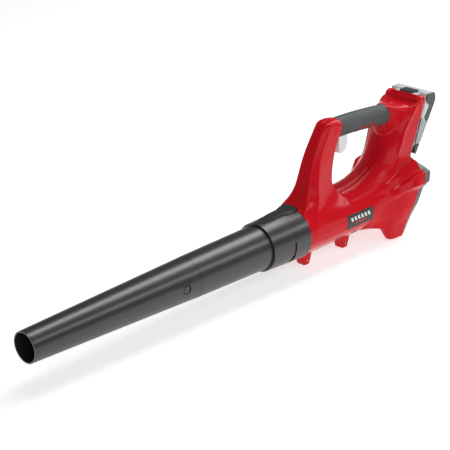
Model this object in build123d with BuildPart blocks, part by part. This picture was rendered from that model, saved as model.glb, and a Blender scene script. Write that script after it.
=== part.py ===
from build123d import *
import os
from math import atan, cos, degrees, radians, sin, tan

os.makedirs("parts", exist_ok=True)

# Cordless leaf blower.  Millimetres.  +X is where the air leaves, +Y is the tool's left, +Z is up.
# The origin is on the floor, under the middle of the whole tool's box.

# ---- driving dimensions ----------------------------------------------------------------------------
AXIS_Z = 66.0               # height of the air tube's axis above the floor
MOUTH_X = 441.0             # front end of the nozzle
MOUTH_R = 25.0              # outside radius at the mouth
JOINT_X = 126.0             # where nozzle and tube meet
JOINT_R = 34.9
TUBE_WALL = 2.3
COLLAR_FRONT_X = -30.0      # front lip of the bell-shaped collar
COLLAR_REAR_X = -113.6      # rear edge of the collar, against the casing
COLLAR_FRONT_R = 41.3
COLLAR_REAR_R = 44.6
TUBE_REAR_R = 37.6          # tube radius where it enters the collar
CASE_X = -114.2             # front face of the casing's barrel
BARREL_R = 44.0             # outside radius of the casing's barrel
BARREL_END_X = -272.0       # where the barrel starts to flare
CASE_WALL = 2.6
SPIGOT_R = 38.5             # casing spigot that the collar turns on
SPIGOT_X = -58.0
REAR_FOOT_X = -345.0        # rear plane of the casing, at the floor
REAR_LEAN = 15.9            # degrees that the rear plane leans back
PACK_LEAN = 30.7            # degrees that the battery and its slide lean back
PACK_FOOT = (-389.6, 138.4)  # x, z of the battery's lower rear corner
PACK_BODY = 26.0            # thickness of the battery's wide body
PACK_RAIL = 37.6            # thickness with the narrow rail block in front
PACK_HALF = 39.0            # half width outside the tower
PACK_INNER_HALF = 35.2      # half width between the tower's side walls
RAIL_HALF = 25.2            # half width of the rail block, between the ears

TUBE_AXIS = Axis((0, 0, AXIS_Z), (1, 0, 0))


# ---- helpers ---------------------------------------------------------------------------------------
def mirrored(half):
    """Closed outline from its +Y half, listed from the top centre down to the bottom centre."""
    other = [(-y, z) for y, z in reversed(half) if y != 0]
    return half + other


def inset_outline(points, distance):
    """The same outline with every edge moved inwards by distance (points run clockwise)."""
    if distance == 0:
        return points
    result = []
    count = len(points)
    for i in range(count):
        before = Vector(*points[i - 1])
        here = Vector(*points[i])
        after = Vector(*points[(i + 1) % count])
        edge_in = (here - before).normalized()
        edge_out = (after - here).normalized()
        normal_in = Vector(edge_in.Y, -edge_in.X)
        normal_out = Vector(edge_out.Y, -edge_out.X)
        bisector = normal_in + normal_out
        scale = 2 * distance / bisector.dot(bisector)
        moved = here + bisector * scale
        result.append((moved.X, moved.Y))
    return result


def lofted(sections, ruled=True):
    """Solid through a list of (plane, outline) sections."""
    with BuildPart() as form:
        for plane, points in sections:
            with BuildSketch(plane):
                Polygon(*points, align=None)
        loft(ruled=ruled)
    return form.part


def turned(profile):
    """Solid turned about the tube axis from a closed (x, radius) profile."""
    with BuildPart() as form:
        with BuildSketch(side_plane(0, 0, AXIS_Z)):
            Polygon(*profile, align=None)
        revolve(axis=TUBE_AXIS)
    return form.part


def plate(points, low_y, high_y):
    """Solid with a side profile of (x, z) points, from low_y to high_y."""
    with BuildPart() as form:
        with BuildSketch(side_plane(0, high_y, 0)):
            Polygon(*points, align=None)
        extrude(amount=high_y - low_y)
    return form.part


def save(part, name):
    part.label = name
    export_step(part, f"parts/{name}.step")


def side_plane(x, y, z):
    """Plane across the tool's width at a point; local x is +X, local y is +Z, and it extrudes to -Y."""
    return Plane(origin=(x, y, z), x_dir=(1, 0, 0), z_dir=(0, -1, 0))


def pack_point(along, forward):
    """(x, z) of a point in the battery's own directions: along its slide, and forwards from its back."""
    lean = radians(PACK_LEAN)
    x = PACK_FOOT[0] - along * sin(lean) + forward * cos(lean)
    z = PACK_FOOT[1] + along * cos(lean) + forward * sin(lean)
    return (x, z)


def pack_box(low_s, high_s, low_n, high_n):
    """(x, z) corners of a box in the battery's own directions."""
    corners = ((low_s, low_n), (low_s, high_n), (high_s, high_n), (high_s, low_n))
    return [pack_point(along, forward) for along, forward in corners]


def radial_plane(angle):
    """Plane through the tube axis at an angle from +Y towards +Z; local x is +X, local y is outwards."""
    turn = radians(angle)
    return Plane(origin=(0, 0, AXIS_Z), x_dir=(1, 0, 0), z_dir=(0, -sin(turn), cos(turn)))


def sector(low_x, high_x, low_r, high_r, start, arc):
    """Block of a ring about the tube axis, from the start angle through arc degrees."""
    with BuildPart() as form:
        with BuildSketch(radial_plane(start)):
            Polygon((low_x, low_r), (high_x, low_r), (high_x, high_r), (low_x, high_r), align=None)
        revolve(axis=TUBE_AXIS, revolution_arc=arc)
    return form.part


def coil(centre, direction, length, radius, wire, turns):
    """Compression spring that starts at centre and runs along direction."""
    with BuildPart() as form:
        with BuildLine() as path:
            Helix(pitch=(length - wire) / turns, height=length - wire, radius=radius,
                  center=Vector(*centre) + Vector(*direction) * (wire / 2), direction=direction)
        with BuildSketch(Plane(origin=path.line @ 0, z_dir=path.line % 0)):
            Circle(wire / 2)
        sweep(path=path.line, is_frenet=True)
    return form.part


def leads(route, radius, half_gap, bend):
    """Pair of wires along a route of (x, z) points, half_gap each side of the mid plane."""
    with BuildPart() as form:
        for y in (half_gap, -half_gap):
            points = [(x, y, z) for x, z in route]
            with BuildLine() as path:
                FilletPolyline(*points, radius=bend)
            with BuildSketch(Plane(origin=path.line @ 0, z_dir=path.line % 0)):
                Circle(radius)
            sweep(path=path.line)
    return form.part


def leaning_plane(foot_x, lean):
    """Plane across the tool that passes the floor at foot_x and leans back; local x is +Y."""
    normal = (cos(radians(lean)), 0, sin(radians(lean)))
    return Plane(origin=(foot_x, 0, 0), x_dir=(0, 1, 0), z_dir=normal)


# ---- bayonet between collar and casing -------------------------------------------------------------
SLOT_X = -78.0
LUG_R = 41.4
LUG_ARC = 6
SLOT_TOP = 8                # upper end of the slot, in degrees from +Y towards +Z
SLOT_STEP = -25             # where the narrow slot widens
SLOT_END = -58
ENTRY = (-41, -26)          # angles of the groove that lets the lug in

# ---- casing forms ----------------------------------------------------------------------------------
FLARE_FRONT = [(9, 109), (20, 105.2), (29, 99), (37, 89.8), (41, 82), (43.2, 74),
               (43.6, 60), (40.6, 49), (36, 40.7), (28, 32), (18, 25.9), (7, 22.6)]
FLARE_WAIST = [(11, 114), (28, 111), (36, 103), (43, 92), (45.5, 88), (46.5, 81),
               (46, 70), (46.5, 50), (43, 38), (40, 25), (28, 23), (12, 21)]
FLARE_TOE = [(13, 119), (33, 116), (42, 107.5), (47, 99), (53, 97), (56, 87),
             (51, 77), (52, 53), (50, 27), (47, 0), (37, 0), (27, 17)]
FLARE_EAR = [(16, 127), (42, 125.5), (51, 117.5), (55, 112.5), (69, 113), (73, 97),
             (60.5, 84), (59, 55), (52, 28), (48.5, 0), (37, 0), (27, 16)]
FLARE_REAR = [(18, 132), (46, 130.5), (55, 123), (58, 119), (71, 116), (75, 97),
              (64, 84), (61, 56), (53, 29), (49, 0), (37, 0), (27, 16)]
# where each outline stands between the barrel's end and the rear plane, as a share of the way
FLARE_STATIONS = [(0.33, FLARE_WAIST), (0.55, FLARE_TOE), (0.8, FLARE_EAR), (1, FLARE_REAR)]
# tower sections: height, front x, rear x
TOWER = [(96, -236, -366), (118, -270, -378), (134, -303, -381), (148, -324, -383),
         (164, -335, -387.5), (182, -339, -394), (205, -342, -403), (224, -347, -411.5)]
# strut sections: height, front x, front half width, side x, side half width, rear x, rear half width
STRUT = [(96, -116, 22, -150, 22, -200, 20), (114, -119, 20, -150, 20, -198.5, 18),
         (136, -137, 15, -160, 18, -198, 15), (163, -145, 12.5, -163, 17.5, -200, 14.5),
         (189, -155, 10, -167, 17, -206, 14.5), (215, -171, 8, -181, 16.5, -221, 14.5),
         (231, -181, 7, -189, 15.5, -223, 14.5), (240.5, -191, 6, -196, 12, -217, 12)]
# handle core sections: x, centre height, half height, half width (the grip adds GRIP_WALL round it)
HANDLE = [(-203, 222.0, 15.0, 12.6), (-250, 221.5, 15.0, 12.4), (-300, 218.5, 15.2, 12.4),
          (-352, 213.0, 15.6, 12.8)]
GRIP_WALL = 2.8


def flare_form(inset):
    sections = [(Plane.YZ.offset(BARREL_END_X), inset_outline(mirrored(FLARE_FRONT), inset))]
    for share, half in FLARE_STATIONS:
        lean = degrees(atan(share * tan(radians(REAR_LEAN))))
        foot_x = BARREL_END_X + share * (REAR_FOOT_X - BARREL_END_X)
        points = [(y, z / cos(radians(lean))) for y, z in mirrored(half)]
        sections.append((leaning_plane(foot_x, lean), inset_outline(points, inset)))
    return lofted(sections)


def tower_form(inset):
    sections = []
    for height, front_x, rear_x in TOWER:
        top_inset = inset if height == TOWER[-1][0] else 0
        points = [(front_x, -15), (front_x - 9, -29), (front_x - 27, -37), (rear_x, -39.4),
                  (rear_x, 39.4), (front_x - 27, 37), (front_x - 9, 29), (front_x, 15)]
        sections.append((Plane.XY.offset(height - top_inset), inset_outline(points, inset)))
    return lofted(sections)


def strut_form(inset):
    sections = []
    for height, front, front_w, side, side_w, rear, rear_w in STRUT:
        top_inset = inset if height == STRUT[-1][0] else 0
        points = [(front, -front_w), (side, -side_w), (rear, -rear_w), (rear, rear_w),
                  (side, side_w), (front, front_w)]
        sections.append((Plane.XY.offset(height - top_inset), inset_outline(points, inset)))
    return lofted(sections)


def handle_form(grow):
    """Oval bar along the handle; grow is added to the core all round."""
    with BuildPart() as form:
        for x, centre_z, half_z, half_y in HANDLE:
            with BuildSketch(Plane.YZ.offset(x).shift_origin((x, 0, centre_z))):
                Ellipse(half_y + grow, half_z + grow)
        loft()
    return form.part


# Raised back of the tower: a riser behind the brow line, with the two ears beside the battery.
BROW = [(-389, 218), (-394.4, 224.6), (-399, 238.4), (-404.6, 239.4), (-412.5, 238.2), (-415.2, 232),
        (-409.5, 218)]
# case screws: x, z; they enter from the right
SCREWS = [(-141, 9), (-238, 9), (-186, 212), (-160, 140), (-344, 152), (-318, 28)]
SCREW_R = 1.5
BOSS_R = 4.2
HEAD_R = 3.1
SCREW_SEAT_Y = -6.0         # plane that every screw head seats on
SCREW_TIP_Y = 10.0


def pack_pocket(grow):
    """Space for the battery between the tower's side walls, open at the top and the back."""
    wide = [pack_point(-1 - grow, PACK_BODY + 0.4 + grow), pack_point(150, PACK_BODY + 0.4 + grow),
            pack_point(150, -60), pack_point(-1 - grow, -60)]
    narrow = [pack_point(8 - grow, PACK_RAIL + 0.4 + grow), pack_point(150, PACK_RAIL + 0.4 + grow),
              pack_point(150, 0), pack_point(8 - grow, 0)]
    with BuildPart() as form:
        add(plate(wide, -PACK_INNER_HALF - 0.4 - grow, PACK_INNER_HALF + 0.4 + grow))
        add(plate(narrow, -RAIL_HALF - 0.4 - grow, RAIL_HALF + 0.4 + grow))
    return form.part


# ---- casing ----------------------------------------------------------------------------------------
with BuildPart() as upper_hollow:
    add(strut_form(CASE_WALL))
    add(tower_form(CASE_WALL))
    add(handle_form(-CASE_WALL))
    add(turned([(CASE_X + 5, 0), (CASE_X + 5, BARREL_R), (BARREL_END_X - 20, BARREL_R),
                (BARREL_END_X - 20, 0)]), mode=Mode.SUBTRACT)
    add(flare_form(0), mode=Mode.SUBTRACT)
    add(pack_pocket(CASE_WALL), mode=Mode.SUBTRACT)

with BuildPart() as outer:
    add(turned([(CASE_X, 0), (CASE_X, BARREL_R), (BARREL_END_X - 2, BARREL_R), (BARREL_END_X - 2, 0)]))
    add(flare_form(0))
    add(tower_form(0))
    add(strut_form(0))
    add(handle_form(0))
    add(plate(BROW, -36.5, 36.5))
    # two feet under the barrel, which are also the lower screw lugs
    for foot_x, _ in SCREWS[:2]:
        foot = [(foot_x - 15, 26), (foot_x - 6, 0), (foot_x + 6, 0), (foot_x + 13, 26)]
        add(plate(foot, -9, 9))

with BuildPart() as bosses:
    for x, z in SCREWS[2:]:
        with BuildSketch(side_plane(x, 60, z)):
            Circle(BOSS_R)
        extrude(amount=120)
    add(outer.part, mode=Mode.INTERSECT)

TRIGGER_X = -235.0          # middle of the trigger
TRIGGER_HALF = 7.2
TRIGGER_STEM_HALF = 4.6     # the part of the trigger inside the handle
TRIGGER_PIN = (-232.0, 229.0)
TRIGGER_PIN_R = 1.5
LEAD_X = -176.0             # where the motor's leads pass up through the barrel
LEAD_Y = 7.8
LEAD_R = 1.1

with BuildPart() as casing:
    add(outer.part)
    # spigot for the tube's collar, with two bayonet lugs
    add(turned([(CASE_X - 4, 0), (CASE_X - 4, SPIGOT_R), (SPIGOT_X, SPIGOT_R), (SPIGOT_X, 0)]))
    for side in (0, 180):
        add(sector(SLOT_X - 1.3, SLOT_X + 1.3, SPIGOT_R - 1, LUG_R, side, LUG_ARC))
    add(upper_hollow.part, mode=Mode.SUBTRACT)
    add(flare_form(CASE_WALL), mode=Mode.SUBTRACT)
    add(turned([(SPIGOT_X + 1, 0), (SPIGOT_X + 1, SPIGOT_R - CASE_WALL),
                (CASE_X - 6, SPIGOT_R - CASE_WALL), (CASE_X - 10, BARREL_R - CASE_WALL),
                (BARREL_END_X - 8, BARREL_R - CASE_WALL), (BARREL_END_X - 8, 0)]),
        mode=Mode.SUBTRACT)
    add(pack_pocket(0), mode=Mode.SUBTRACT)
    add(bosses.part)
    # slot under the handle for the trigger, and holes for the motor's leads and the terminal block's tail
    with BuildSketch(Plane.XY.offset(190)):
        with Locations((TRIGGER_X, 0)):
            Rectangle(32, 2 * TRIGGER_HALF + 1.4)
    extrude(amount=25, mode=Mode.SUBTRACT)
    with BuildSketch(Plane.XY.offset(100)):
        with Locations((LEAD_X, LEAD_Y), (LEAD_X, -LEAD_Y)):
            Circle(LEAD_R + 0.4)
    extrude(amount=14, mode=Mode.SUBTRACT)
    add(plate(pack_box(10, 20, PACK_RAIL, 45), -16.3, 16.3), mode=Mode.SUBTRACT)
    # pilot holes, and the heads' recesses on the right
    for x, z in SCREWS:
        with BuildSketch(side_plane(x, SCREW_TIP_Y + 1, z)):
            Circle(SCREW_R)
        extrude(amount=SCREW_TIP_Y + 1 - SCREW_SEAT_Y, mode=Mode.SUBTRACT)
        with BuildSketch(side_plane(x, SCREW_SEAT_Y, z)):
            Circle(HEAD_R + 0.3)
        extrude(amount=60, mode=Mode.SUBTRACT)
    # bearings for the trigger's pin
    with BuildSketch(side_plane(TRIGGER_PIN[0], 0, TRIGGER_PIN[1])):
        Circle(TRIGGER_PIN_R)
    extrude(amount=11.0, both=True, mode=Mode.SUBTRACT)

with BuildPart() as case_left:
    add(casing.part)
    split(bisect_by=Plane.XZ, keep=Keep.BOTTOM)
save(case_left.part, "case_left")

with BuildPart() as case_right:
    add(casing.part)
    split(bisect_by=Plane.XZ, keep=Keep.TOP)
save(case_right.part, "case_right")

with BuildPart() as case_screws:
    for x, z in SCREWS:
        with BuildSketch(side_plane(x, SCREW_TIP_Y, z)):
            Circle(SCREW_R)
        extrude(amount=SCREW_TIP_Y - SCREW_SEAT_Y)
        with BuildSketch(side_plane(x, SCREW_SEAT_Y, z)):
            Circle(HEAD_R)
        extrude(amount=2.4)
        with BuildSketch(side_plane(x, SCREW_SEAT_Y - 2.4, z)):
            RegularPolygon(1.7, 6)
        extrude(amount=-1.4, mode=Mode.SUBTRACT)
save(case_screws.part, "case_screws")

# ---- air tube --------------------------------------------------------------------------------------
NOZZLE_SLOPE = (JOINT_R - 0.2 - MOUTH_R) / (MOUTH_X - JOINT_X)
SOCKET_X = 178.0            # front end of the tube's inner socket, inside the nozzle
SOCKET_WALL = 2.0
COLLAR_BORE = 39.0
BUTTON_X = 156.0            # centre of the nozzle's snap button, on the left at axis height
BUTTON_R = 6.3


def nozzle_bore(x):
    """Inside radius of the nozzle's cone."""
    return JOINT_R - 0.2 - TUBE_WALL - NOZZLE_SLOPE * (x - JOINT_X)


def button_drum(radius, low_y, high_y):
    """Short cylinder across the tube at the snap button."""
    with BuildPart() as form:
        with BuildSketch(side_plane(BUTTON_X, high_y, AXIS_Z)):
            Circle(radius)
        extrude(amount=high_y - low_y)
    return form.part


with BuildPart() as crest:
    # raised rib along the top of the collar, pointed in front and stepped wider behind
    with BuildSketch(Plane.XY.offset(AXIS_Z + 39.4)):
        Polygon((-33, 0), (-42, 8), (-86, 9), (-97, 13), (COLLAR_REAR_X, 14), (COLLAR_REAR_X, -14),
                (-97, -13), (-86, -9), (-42, -8), align=None)
    extrude(amount=14)
    add(plate([(-30, AXIS_Z + 39), (-34, AXIS_Z + 41.5), (-62, AXIS_Z + 46), (COLLAR_REAR_X, AXIS_Z + 48.6),
               (COLLAR_REAR_X, AXIS_Z + 39)], -20, 20), mode=Mode.INTERSECT)

with BuildPart() as blower_tube:
    add(turned([(COLLAR_REAR_X, COLLAR_REAR_R), (COLLAR_FRONT_X, COLLAR_FRONT_R),
                (COLLAR_FRONT_X, TUBE_REAR_R), (JOINT_X, JOINT_R), (JOINT_X, nozzle_bore(JOINT_X) - 0.1),
                (SOCKET_X, nozzle_bore(SOCKET_X) - 0.1), (SOCKET_X, nozzle_bore(SOCKET_X) - SOCKET_WALL),
                (JOINT_X - 4, nozzle_bore(JOINT_X - 4) - SOCKET_WALL), (JOINT_X - 12, JOINT_R - TUBE_WALL),
                (COLLAR_FRONT_X - 2, TUBE_REAR_R - TUBE_WALL), (COLLAR_FRONT_X - 20, COLLAR_BORE),
                (COLLAR_REAR_X, COLLAR_BORE)]))
    add(crest.part)
    for side in (0, 180):
        add(sector(SLOT_X - 1.8, SLOT_X + 1.8, 38, 52, side + SLOT_STEP, SLOT_TOP - SLOT_STEP),
            mode=Mode.SUBTRACT)
        add(sector(SLOT_X - 3.6, SLOT_X + 3.6, 38, 52, side + SLOT_END, SLOT_STEP - SLOT_END),
            mode=Mode.SUBTRACT)
        add(sector(COLLAR_REAR_X - 1, SLOT_X, 38, LUG_R + 0.4, side + ENTRY[0], ENTRY[1] - ENTRY[0]),
            mode=Mode.SUBTRACT)
    # closed cup inside the socket that holds the snap button
    with BuildPart() as cup:
        add(turned([(140, 0), (140, nozzle_bore(140) - 1.1), (172, nozzle_bore(172) - 1.1), (172, 0)]))
        add(button_drum(9.7, 16, 36), mode=Mode.INTERSECT)
    add(cup.part)
    add(button_drum(8.5, 17.6, 28.5), mode=Mode.SUBTRACT)
    add(button_drum(BUTTON_R + 0.4, 20, 36), mode=Mode.SUBTRACT)
save(blower_tube.part, "blower_tube")

MOUTH_LAND = 14.0           # short straight bore at the mouth
with BuildPart() as nozzle:
    add(turned([(JOINT_X + 0.4, JOINT_R - 0.2), (MOUTH_X - 3, MOUTH_R + 0.1), (MOUTH_X, MOUTH_R - 0.3),
                (MOUTH_X, nozzle_bore(MOUTH_X)), (MOUTH_X - MOUTH_LAND, nozzle_bore(MOUTH_X)),
                (MOUTH_X - MOUTH_LAND - 8, nozzle_bore(MOUTH_X - MOUTH_LAND - 8)),
                (JOINT_X + 0.4, nozzle_bore(JOINT_X + 0.4))]))
    add(button_drum(BUTTON_R + 1.1, 25, 40), mode=Mode.SUBTRACT)
save(nozzle.part, "nozzle")

with BuildPart() as nozzle_button:
    add(button_drum(8.1, 26.9, 28.3))
    add(button_drum(BUTTON_R, 27, 33.2))
    fillet(nozzle_button.edges().group_by(Axis.Y)[-1], 1.0)
save(nozzle_button.part, "nozzle_button")

save(coil((BUTTON_X, 17.8, AXIS_Z), (0, 1, 0), 9.0, 5.4, 0.9, 4), "nozzle_button_spring")

# ---- fan, duct and motor ---------------------------------------------------------------------------
DUCT = (-292.0, -186.0)     # rear and front ends of the fan duct
DUCT_R = 37.6               # inside radius of the duct
DUCT_OUTER_R = 39.4
CUP_R = 23.4
CUP = (-250.0, -188.0)
MOTOR_R = 21.2
MOTOR = (-247.8, -193.0)
SHAFT_R = 2.5
VANES = 7
BLADES = 9

with BuildPart() as fan_duct:
    add(turned([(DUCT[0], DUCT_OUTER_R), (DUCT[1], DUCT_OUTER_R), (DUCT[1], DUCT_R), (DUCT[0], DUCT_R)]))
    add(turned([(CUP[0], CUP_R), (CUP[1], CUP_R), (CUP[1], MOTOR_R + 0.2), (CUP[0] + 2, MOTOR_R + 0.2),
                (CUP[0] + 2, 5), (CUP[0], 5)]))
    with BuildSketch(Plane.YZ.offset(-244).shift_origin((-244, 0, AXIS_Z))):
        with PolarLocations((CUP_R + DUCT_R) / 2, VANES, start_angle=90):
            Rectangle(DUCT_R - CUP_R + 1, 2)
    extrude(amount=48)
save(fan_duct.part, "fan_duct")

with BuildPart() as duct_rings:
    for x in (-244, -202):
        add(turned([(x, DUCT_OUTER_R), (x, BARREL_R - CASE_WALL), (x + 7, BARREL_R - CASE_WALL),
                    (x + 7, DUCT_OUTER_R)]))
save(duct_rings.part, "duct_rings")

with BuildPart() as motor_can:
    add(turned([(MOTOR[0], MOTOR_R), (MOTOR[1], MOTOR_R), (MOTOR[1], MOTOR_R - 1.2),
                (MOTOR[0] + 1.6, MOTOR_R - 1.2), (MOTOR[0] + 1.6, 7.4), (MOTOR[0] + 7, 7.4),
                (MOTOR[0] + 7, 6), (MOTOR[0] + 1.6, 6), (MOTOR[0] + 1.6, 3.4), (MOTOR[0], 3.4)]))
save(motor_can.part, "motor_can")

with BuildPart() as motor_end_cap:
    add(turned([(MOTOR[1], MOTOR_R), (MOTOR[1] + 3.5, MOTOR_R), (MOTOR[1] + 3.5, 0), (MOTOR[1] + 1.5, 0),
                (MOTOR[1] + 1.5, 6), (MOTOR[1] - 4, 6), (MOTOR[1] - 4, 7.4), (MOTOR[1], 7.4)]))
save(motor_end_cap.part, "motor_end_cap")

with BuildPart() as motor_bearings:
    for x in (MOTOR[0] + 1.7, MOTOR[1] - 3.9):
        add(turned([(x, SHAFT_R + 0.05), (x, 6), (x + 5, 6), (x + 5, SHAFT_R + 0.05)]))
save(motor_bearings.part, "motor_bearings")

with BuildPart() as motor_magnets:
    for start in (15, 195):
        add(sector(-238, -204, 16.6, MOTOR_R - 1.2, start, 150))
save(motor_magnets.part, "motor_magnets")

with BuildPart() as armature:
    add(turned([(-236, SHAFT_R), (-236, 15.8), (-206, 15.8), (-206, 7), (-200, 7), (-200, SHAFT_R)]))
    with BuildSketch(Plane.YZ.offset(-236).shift_origin((-236, 0, AXIS_Z))):
        with PolarLocations(14.2, 12):
            Rectangle(3.6, 2.2)
    extrude(amount=30, mode=Mode.SUBTRACT)
save(armature.part, "armature")

with BuildPart() as motor_shaft:
    add(turned([(-297, 0), (-297, SHAFT_R), (-192.2, SHAFT_R), (-192.2, 0)]))
save(motor_shaft.part, "motor_shaft")

with BuildPart() as impeller:
    add(turned([(-289, SHAFT_R), (-289, 9), (-286, 14), (-279, 18.6), (-256, 20), (-256, SHAFT_R)]))
    with Locations(Plane.YZ.offset(-268).shift_origin((-268, 0, AXIS_Z))):
        with PolarLocations(28, BLADES):
            Box(19, 1.8, 25, rotation=(38, 0, 0))
    add(turned([(-295, 0), (-295, DUCT_R - 0.8), (-250, DUCT_R - 0.8), (-250, 0)]), mode=Mode.INTERSECT)
    add(turned([(-295, 0), (-295, SHAFT_R), (-250, SHAFT_R), (-250, 0)]), mode=Mode.SUBTRACT)
save(impeller.part, "impeller")

with BuildPart() as impeller_nut:
    with BuildSketch(Plane.YZ.offset(-294).shift_origin((-294, 0, AXIS_Z))):
        RegularPolygon(4.6, 6)
        Circle(SHAFT_R, mode=Mode.SUBTRACT)
    extrude(amount=5)
save(impeller_nut.part, "impeller_nut")

with BuildPart() as motor_fairing:
    add(turned([(CUP[1], CUP_R), (-172, 17), (-152, 6), (-149, 0), (-151, 0), (-154, 5), (-173, 15.2),
                (CUP[1], MOTOR_R)]))
    with BuildSketch(Plane.XY.offset(AXIS_Z)):
        with Locations((LEAD_X, LEAD_Y), (LEAD_X, -LEAD_Y)):
            Circle(LEAD_R + 0.3)
    extrude(amount=30, mode=Mode.SUBTRACT)
save(motor_fairing.part, "motor_fairing")

# ---- handle: grip, trigger and switch --------------------------------------------------------------
GRIP = (-346.0, -216.5)
PAD = (-311.5, -263.0)      # rear and front of the pad let into the grip's underside
PAD_TOP = 212.5

with BuildPart() as pad_space:
    with BuildSketch(side_plane(0, 25, 0)):
        Polygon((PAD[1] + 3, 195), (PAD[1] - 5, PAD_TOP), (PAD[0], PAD_TOP - 2), (PAD[0] - 1, 190),
                align=None)
    extrude(amount=50)

with BuildPart() as grip_form:
    add(handle_form(GRIP_WALL))
    add(handle_form(0), mode=Mode.SUBTRACT)
    add(plate([(GRIP[1], 250), (GRIP[1] - 2, 190), (GRIP[0] + 12, 190), (GRIP[0], 206), (GRIP[0], 250)],
              -30, 30), mode=Mode.INTERSECT)
    add(tower_form(0.0), mode=Mode.SUBTRACT)
    add(strut_form(0.0), mode=Mode.SUBTRACT)
    with BuildSketch(Plane.XY.offset(190)):
        with Locations((TRIGGER_X, 0)):
            Rectangle(32, 2 * TRIGGER_HALF + 1.4)
    extrude(amount=25, mode=Mode.SUBTRACT)

with BuildPart() as grip_sleeve:
    add(grip_form.part)
    add(pad_space.part, mode=Mode.SUBTRACT)
save(grip_sleeve.part, "grip_sleeve")

with BuildPart() as grip_pad:
    add(grip_form.part)
    with BuildSketch(side_plane(0, 25, 0)):
        Polygon((PAD[1] + 1, 195), (PAD[1] - 6, PAD_TOP - 1.2), (PAD[0] + 1.2, PAD_TOP - 3.2),
                (PAD[0] + 0.4, 190), align=None)
    extrude(amount=50, mode=Mode.INTERSECT)
save(grip_pad.part, "grip_pad")

with BuildPart() as trigger:
    add(plate([(-226, 231.4), (-222.5, 205), (-223.5, 178), (-228, 175.5), (-240, 181), (-243.5, 192),
               (-244.5, 205), (-245, 228.6)], -TRIGGER_HALF, TRIGGER_HALF))
    stem = [(-220, 207), (-220, 240), (-250, 240), (-250, 207)]
    add(plate(stem, TRIGGER_STEM_HALF, 12), mode=Mode.SUBTRACT)
    add(plate(stem, -12, -TRIGGER_STEM_HALF), mode=Mode.SUBTRACT)
    with BuildSketch(side_plane(TRIGGER_PIN[0], 15, TRIGGER_PIN[1])):
        Circle(TRIGGER_PIN_R + 0.05)
    extrude(amount=30, mode=Mode.SUBTRACT)
save(trigger.part, "trigger")

with BuildPart() as trigger_pin:
    with BuildSketch(side_plane(TRIGGER_PIN[0], 8.6, TRIGGER_PIN[1])):
        Circle(TRIGGER_PIN_R)
    extrude(amount=17.2)
save(trigger_pin.part, "trigger_pin")

PLUNGER_Z = 219.0
SWITCH = (-292.0, -256.0)
with BuildPart() as switch_body:
    add(plate([(SWITCH[0], 211.5), (SWITCH[0], 227), (SWITCH[1], 229), (SWITCH[1], 212)], -5.5, 5.5))
    with BuildSketch(Plane.YZ.offset(SWITCH[1] + 1).shift_origin((SWITCH[1] + 1, 0, PLUNGER_Z))):
        Circle(2.4)
    extrude(amount=-14, mode=Mode.SUBTRACT)
save(switch_body.part, "switch_body")

with BuildPart() as switch_plunger:
    with BuildSketch(Plane.YZ.offset(-245.3).shift_origin((-245.3, 0, PLUNGER_Z))):
        Circle(2.2)
    extrude(amount=-16)
save(switch_plunger.part, "switch_plunger")

save(coil((-255.7, 0, 213.9), (1, 0, 0), 10.2, 1.5, 0.5, 6), "trigger_spring")

MOTOR_ROUTE = [(LEAD_X, 84), (LEAD_X, 122), (-182, 160), (-196, 196), (-213, 222.5), (-256, 222)]
save(leads(MOTOR_ROUTE, LEAD_R, LEAD_Y, 10), "motor_leads")

# ---- battery terminals and control board -----------------------------------------------------------
BLADES_Y = (-14, -5, 5, 14)
with BuildPart() as terminal_block:
    add(plate(pack_box(8.4, 21, PACK_BODY + 1, PACK_RAIL), -24.6, 24.6))
    add(plate(pack_box(10.4, 19.6, PACK_RAIL - 1, 46), -16, 16))
save(terminal_block.part, "terminal_block")

with BuildPart() as terminal_blades:
    for y in BLADES_Y:
        add(plate(pack_box(21, 36, 29, 35), y - 0.4, y + 0.4))
save(terminal_blades.part, "terminal_blades")

with BuildPart() as control_board:
    add(plate(pack_box(5, 36, 46, 47.6), -20, 20))
    add(plate(pack_box(22, 33, 47.6, 53), -15, -7))
    add(plate(pack_box(8, 18, 47.6, 51), -4, 8))
save(control_board.part, "control_board")

BATTERY_ROUTE = [(-292.2, 219), (-322, 216), (-346, 204), pack_point(29, 48.2)]
save(leads(BATTERY_ROUTE, LEAD_R, 3.0, 9), "battery_leads")

# ---- rear intake cover -----------------------------------------------------------------------------
COVER_REAR = [(16, 121.5), (43, 120.5), (52, 119), (57, 117.3), (69.5, 113.5), (73, 97.5),
              (63, 84), (59.5, 57), (51, 31), (46, 4), (36, 4), (26, 18)]
COVER_FOOT_X = -352.5
COVER_LEAN = 19.9
LOUVRES = 9


def cover_form(inset, back_wall):
    front = inset_outline([(y, z / cos(radians(REAR_LEAN))) for y, z in mirrored(FLARE_REAR)], inset)
    rear = inset_outline([(y, z / cos(radians(COVER_LEAN))) for y, z in mirrored(COVER_REAR)], inset)
    return lofted([(leaning_plane(REAR_FOOT_X, REAR_LEAN), front),
                   (leaning_plane(COVER_FOOT_X, COVER_LEAN).offset(back_wall), rear)])


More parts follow.
